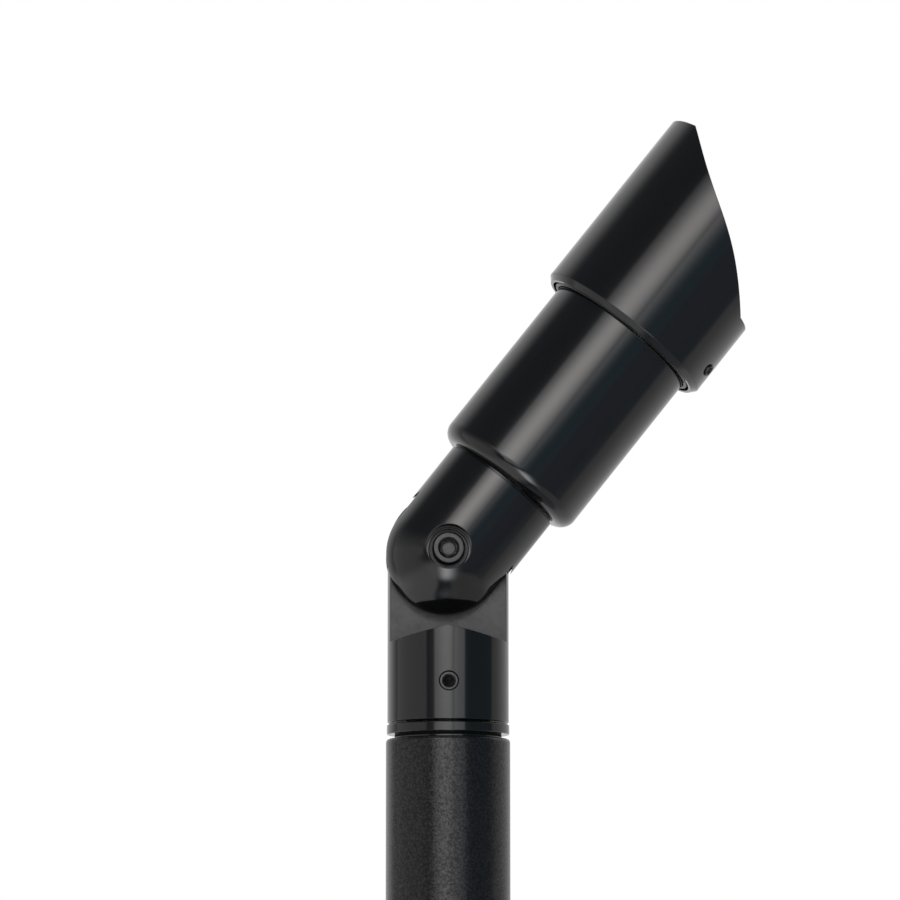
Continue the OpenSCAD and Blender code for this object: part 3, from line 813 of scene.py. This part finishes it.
class LAMP_OT_grub_screws(bpy.types.Operator):
    """Model the headless screws of the stem, the hood and the foot"""

    bl_idname = "spotlight.grub_screws"
    bl_label = "Grub screws"
    bl_options = {"REGISTER", "UNDO"}

    def execute(self, context):
        finish = screw_finish(context, "blackened_grub", 0.42, painted_shade_reach=3.0 * MM, painted_shade_tone=0.1)
        low, high = node_low("stem_set_screw"), node_high("stem_set_screw")
        radius = (high.z - low.z) / 2 / MM
        middle = (low + high) / 2
        grub_screw(
            "stem_grub", "stem_set_screw", (middle.x, high.y, middle.z), NEAR,
            (high.y - low.y) / MM, radius, radius, finish,
        )
        self.hood_screw(finish)
        self.foot_pair(finish)
        return {"FINISHED"}

    def hood_screw(self, finish):
        """The hood's screw points away from the head's axis, through the middle of its node."""
        low, high = node_low("hood_set_screw"), node_high("hood_set_screw")
        middle = (low + high) / 2
        station = (middle - PIVOT).dot(HEAD_AXIS)
        root = PIVOT + HEAD_AXIS * station
        corners = [vertex.co for vertex in frame["nodes"]["hood_set_screw"].data.vertices]
        outward = sum(corners, Vector()) / len(corners) - root
        outward = (outward - HEAD_AXIS * outward.dot(HEAD_AXIS)).normalized()
        reach = [(corner - PIVOT).dot(outward) for corner in corners]
        side = [(corner - PIVOT).dot(HEAD_AXIS) for corner in corners]
        tip = PIVOT + HEAD_AXIS * ((min(side) + max(side)) / 2) + outward * min(reach)
        radius = (max(side) - min(side)) / 2 / MM
        length = (max(reach) - min(reach)) / MM
        grub_screw("hood_grub", "hood_set_screw", tip, outward, length, radius, radius, finish)

    def foot_pair(self, finish):
        """Two screws on opposite sides of the foot, as one piece."""
        low, high = node_low("foot_screws"), node_high("foot_screws")
        radius = (high.z - low.z) / 2 / MM
        inner = min(abs(vertex.co.x) for vertex in frame["nodes"]["foot_screws"].data.vertices)
        place = (inner, 0.0, (low.z + high.z) / 2)
        first = grub_screw(
            "foot_grubs", None, place, (1.0, 0.0, 0.0), (high.x - inner) / MM, radius, radius, finish
        )
        second = first.copy()
        second.data = first.data.copy()
        bpy.context.scene.collection.objects.link(second)
        settle(second, "foot_grub_copy", Matrix.Rotation(math.pi, 4, "Z"))
        deselect()
        second.select_set(True)
        first.select_set(True)
        bpy.context.view_layer.objects.active = first
        bpy.ops.object.join()
        hand_over(first, "foot_screws", finish)


class LAMP_OT_spike(bpy.types.Operator):
    """Model the cross-shaped ground spike with softened edges"""

    bl_idname = "spotlight.spike"
    bl_label = "Ground spike"
    bl_options = {"REGISTER", "UNDO"}

    def execute(self, context):
        settings = context.scene.spotlight_screw
        low, high = node_low("ground_spike"), node_high("ground_spike")
        top = node_low("foot_plug").z
        width = high.x - low.x
        thick = settings.blade
        shoulder = self.shoulder(width)
        blades = [self.blade(width, thick, top, shoulder, low.z) for _ in range(2)]
        deselect()
        blades[1].select_set(True)
        bpy.context.view_layer.objects.active = blades[1]
        blades[1].rotation_euler = (0.0, 0.0, math.pi / 2)
        bpy.ops.object.transform_apply(rotation=True)
        combine(blades[0], blades[1], "UNION")
        apply_modifier(
            blades[0], "BEVEL",
            width=SPIKE_ROUNDING, segments=3, limit_method="ANGLE", angle_limit=math.radians(40.0),
        )
        tang = rod(settings.tang / 2 / MM, (top - TANG_SUNK) / MM, high.z / MM)
        round_rim(tang, high.z / MM, 1.0, 2)
        combine(blades[0], tang, "UNION")
        piece = settle(blades[0], "spike", Matrix.Identity(4))
        hand_over(piece, "ground_spike", spike_finish(context.scene.spotlight_finish, "spike_coat"))
        return {"FINISHED"}

    def shoulder(self, width):
        """Height at which the blades begin to narrow."""
        edge = [
            vertex.co.z
            for vertex in frame["nodes"]["ground_spike"].data.vertices
            if abs(abs(vertex.co.x) - width / 2) < NEARLY
        ]
        return min(edge)

    def blade(self, width, thick, top, shoulder, point):
        """One flat blade, from its top over the shoulder down to the point."""
        deselect()
        bpy.ops.mesh.primitive_cube_add(size=1.0, location=(0.0, 0.0, (top + shoulder) / 2))
        piece = bpy.context.object
        piece.scale = (width, thick, top - shoulder)
        bpy.ops.object.transform_apply(location=True, scale=True)
        edit(piece, "FACE")
        pick_face(shoulder / MM, False)
        bpy.ops.mesh.extrude_region_move(TRANSFORM_OT_translate={"value": (0.0, 0.0, point - shoulder)})
        bpy.ops.transform.resize(value=(thick / width, 1.0, 1.0))
        deselect()
        return piece


# Stage


# Soft-edged parts of the studio on the directions round the object, painted in this order:
# azimuth span and its softness, elevation span and its softness in degrees, radiance
STUDIO_PARTS = [
    ((5.0, 110.0), (10.0, 16.0), (-30.0, 2.0), (12.0, 8.0), (0.26, 0.29, 0.345)),
    ((8.0, 38.0), (6.0, 10.0), (-17.0, 4.0), (8.0, 6.0), (0.24, 0.36, 0.44)),
    ((-130.0, -22.0), (16.0, 14.0), (-62.0, -16.0), (14.0, 16.0), (1.08, 1.08, 1.08)),
    ((16.0, 110.0), (16.0, 10.0), (-68.0, -33.0), (16.0, 10.0), (0.57, 0.57, 0.57)),
    ((-112.0, -46.0), (8.0, 30.0), (-26.0, 22.0), (16.0, 40.0), (0.74, 0.73, 0.72)),
    ((-44.0, -24.0), (2.0, 2.0), (-2.0, 12.0), (6.0, 6.0), (0.2, 0.21, 0.235)),
    ((-112.0, -42.0), (8.0, 5.0), (-2.0, 12.0), (6.0, 6.0), (0.74, 0.73, 0.72)),
    ((10.8, 30.7), (3.0, 4.0), (-0.6, 24.0), (14.0, 5.0), (1.43, 1.45, 1.5)),
    ((-26.4, 8.2), (4.2, 10.0), (-9.0, 30.0), (4.2, 19.0), (1.48, 1.46, 1.46)),
]


class LAMP_OT_studio(bpy.types.Operator):
    """Light the object with a plain soft studio and set it on a pale floor"""

    bl_idname = "spotlight.studio"
    bl_label = "Studio"
    bl_options = {"REGISTER", "UNDO"}

    def execute(self, context):
        scene = context.scene
        scene.view_settings.view_transform = "Standard"
        self.make_world(scene)
        self.make_floor(scene.spotlight_studio)
        self.make_key(scene.spotlight_studio)
        return {"FINISHED"}

    def make_key(self, settings):
        """A soft sun that lights the object but has no reflection on it."""
        bpy.ops.object.light_add(type="SUN", location=(0.0, -1.0, 1.0))
        key = bpy.context.object
        key.name = "key"
        key.data.energy = settings.key_strength
        key.data.angle = math.radians(KEY_WIDTH)
        key.visible_glossy = False
        high = math.radians(KEY_HEIGHT)
        turn = math.radians(KEY_TURN)
        along = Vector((-math.sin(turn) * math.cos(high), math.cos(turn) * math.cos(high), -math.sin(high)))
        key.rotation_euler = along.to_track_quat("-Z", "Y").to_euler()

    def make_world(self, scene):
        """Studio panels that light the object and show in its coat, while the camera sees plain white."""
        world = bpy.data.worlds.new("studio")
        scene.world = world
        world.use_nodes = True
        tree = world.node_tree
        tree.nodes.clear()
        graph = Graph(tree)
        direction = graph.add("ShaderNodeTexCoord").outputs["Generated"]
        x, y, z = graph.add("ShaderNodeSeparateXYZ", {0: direction}).outputs
        back = graph.math("MULTIPLY", y, -1.0)
        azimuth = graph.math("DEGREES", graph.math("ARCTAN2", x, back))
        elevation = graph.math("DEGREES", graph.math("ARCSINE", z))

        def window(value, span, soft):
            """1 inside a span of degrees, with soft ends."""
            rise = graph.ramp(value, span[0] - soft[0] / 2, span[0] + soft[0] / 2)
            fall = graph.ramp(value, span[1] - soft[1] / 2, span[1] + soft[1] / 2, 1.0, 0.0)
            return graph.math("MULTIPLY", rise, fall)

        def falloff(offset, size, power):
            """Exponent of a glow at an offset from its centre."""
            share = graph.math("ABSOLUTE", graph.math("DIVIDE", offset, size))
            return graph.math("POWER", share, power)

        def glow(centre, size, power, turn):
            """Smooth round or oval patch of light, turned by some degrees."""
            cosine = math.cos(math.radians(turn))
            sine = math.sin(math.radians(turn))
            east = graph.math("SUBTRACT", azimuth, centre[0])
            north = graph.math("SUBTRACT", elevation, centre[1])
            east_part = graph.math("MULTIPLY", east, cosine)
            along = graph.math("ADD", east_part, graph.math("MULTIPLY", north, sine))
            north_part = graph.math("MULTIPLY", north, cosine)
            across = graph.math("SUBTRACT", north_part, graph.math("MULTIPLY", east, sine))
            total = graph.math("ADD", falloff(along, size[0], 2.0), falloff(across, size[1], power))
            return graph.math("EXPONENT", graph.math("MULTIPLY", total, -1.0))

        left_base = rgba((0.165, 0.175, 0.2))
        right_base = rgba((0.14, 0.2, 0.235))
        colour = graph.mix(graph.ramp(azimuth, -10.0, 10.0), left_base, right_base)
        for az_span, az_soft, el_span, el_soft, radiance in STUDIO_PARTS:
            mask = graph.math(
                "MULTIPLY", window(azimuth, az_span, az_soft), window(elevation, el_span, el_soft)
            )
            colour = graph.mix(mask, colour, rgba(radiance))
        left = graph.math("MULTIPLY", azimuth, -1.0)
        colour = graph.mix(graph.ramp(azimuth, 86.0, 95.0), colour, grey(0.55))
        colour = graph.mix(graph.ramp(azimuth, 95.0, 130.0), colour, grey(0.76))
        colour = graph.mix(graph.ramp(left, 100.0, 140.0), colour, grey(0.86))
        colour = graph.mix(graph.ramp(elevation, 62.0, 78.0), colour, grey(1.1))
        colour = graph.mix(graph.ramp(elevation, -60.0, -72.0), colour, (0.36, 0.37, 0.42, 1.0))
        upper = glow((-11.2, 14.7), (20.0, 8.4), 2.0, -12.6)
        colour = graph.add_scaled(colour, upper, (3.95, 3.82, 3.74))
        lower = glow((1.7, -34.1), (16.0, 16.0), 4.0, 0.0)
        colour = graph.add_scaled(colour, lower, (5.1, 5.1, 5.1))
        paths = graph.add("ShaderNodeLightPath").outputs
        seen = graph.math("MAXIMUM", paths["Is Camera Ray"], paths["Is Transmission Ray"])
        colour = graph.mix(seen, colour, grey(1.0))
        shade = graph.add("ShaderNodeBackground", {"Color": colour})
        graph.add("ShaderNodeOutputWorld", {"Surface": shade.outputs[0]})

    def make_floor(self, settings):
        """A pale floor that fades to white and has no reflection on the object."""
        bpy.ops.object.select_all(action="DESELECT")
        bpy.ops.mesh.primitive_plane_add(size=FLOOR_SIDE, location=(0.0, 0.0, CAD_BOX[0].z))
        floor = bpy.context.object
        floor.name = "floor"
        material, graph, shader = new_finish("pale_floor")
        spread = graph.add("ShaderNodeVectorMath", {0: graph.place()}, operation="LENGTH").outputs["Value"]
        far = graph.ramp(spread, *FLOOR_FADE)
        shader.inputs["Base Color"].default_value = rgba(settings.floor_colour)
        shader.inputs["Roughness"].default_value = 0.9
        shader.inputs["Specular IOR Level"].default_value = 0.0
        paths = graph.add("ShaderNodeLightPath").outputs
        white = graph.add("ShaderNodeEmission", {"Color": grey(1.0)})
        clear = graph.add("ShaderNodeBsdfTransparent")
        faded = graph.add("ShaderNodeMixShader", {0: far, 1: shader.outputs[0], 2: white.outputs[0]})
        shown = graph.add(
            "ShaderNodeMixShader",
            {0: paths["Is Glossy Ray"], 1: faded.outputs[0], 2: clear.outputs[0]},
        )
        out = material.node_tree.nodes["Material Output"]
        graph.put(out.inputs["Surface"], shown.outputs[0])
        floor.data.materials.append(material)


class LAMP_OT_camera(bpy.types.Operator):
    """Stand the camera where the near side is seen from slightly below"""

    bl_idname = "spotlight.camera"
    bl_label = "Camera"
    bl_options = {"REGISTER", "UNDO"}

    def execute(self, context):
        settings = context.scene.spotlight_studio
        data = bpy.data.cameras.new("camera")
        data.sensor_width = 36.0
        data.lens = settings.lens
        data.clip_start = 0.01
        data.clip_end = 50.0
        camera = bpy.data.objects.new("camera", data)
        context.scene.collection.objects.link(camera)
        camera.location = settings.camera_place
        look = Vector(settings.camera_target) - Vector(settings.camera_place)
        camera.rotation_euler = look.to_track_quat("-Z", "Y").to_euler()
        context.scene.camera = camera
        return {"FINISHED"}


# Panel and registration


class LAMP_PT_panel(bpy.types.Panel):
    """Lists the spotlight's settings and the operators that build it"""

    bl_idname = "LAMP_PT_panel"
    bl_label = "Spotlight"
    bl_space_type = "VIEW_3D"
    bl_region_type = "UI"
    bl_category = "Spotlight"

    def draw(self, context):
        layout = self.layout
        scene = context.scene
        for group in (scene.spotlight_finish, scene.spotlight_screw, scene.spotlight_studio):
            box = layout.box()
            for name in group.__annotations__:
                box.prop(group, name)
        for step in STEPS:
            layout.operator(step.bl_idname)


STEPS = (
    LAMP_OT_camera,
    LAMP_OT_finishes,
    LAMP_OT_pivot_screw,
    LAMP_OT_grub_screws,
    LAMP_OT_spike,
    LAMP_OT_studio,
)
GROUPS = (FinishSettings, ScrewSettings, StudioSettings)


def register():
    for item in (*GROUPS, *STEPS, LAMP_PT_panel):
        bpy.utils.register_class(item)
    bpy.types.Scene.spotlight_finish = bpy.props.PointerProperty(type=FinishSettings)
    bpy.types.Scene.spotlight_screw = bpy.props.PointerProperty(type=ScrewSettings)
    bpy.types.Scene.spotlight_studio = bpy.props.PointerProperty(type=StudioSettings)


def unregister():
    del bpy.types.Scene.spotlight_studio
    del bpy.types.Scene.spotlight_screw
    del bpy.types.Scene.spotlight_finish
    for item in reversed((*GROUPS, *STEPS, LAMP_PT_panel)):
        bpy.utils.unregister_class(item)


def main():
    register()
    bpy.ops.spotlight.camera()
    bpy.ops.spotlight.finishes()
    bpy.ops.spotlight.pivot_screw()
    bpy.ops.spotlight.grub_screws()
    bpy.ops.spotlight.spike()
    bpy.ops.spotlight.studio()


if __name__ == "__main__":
    main()
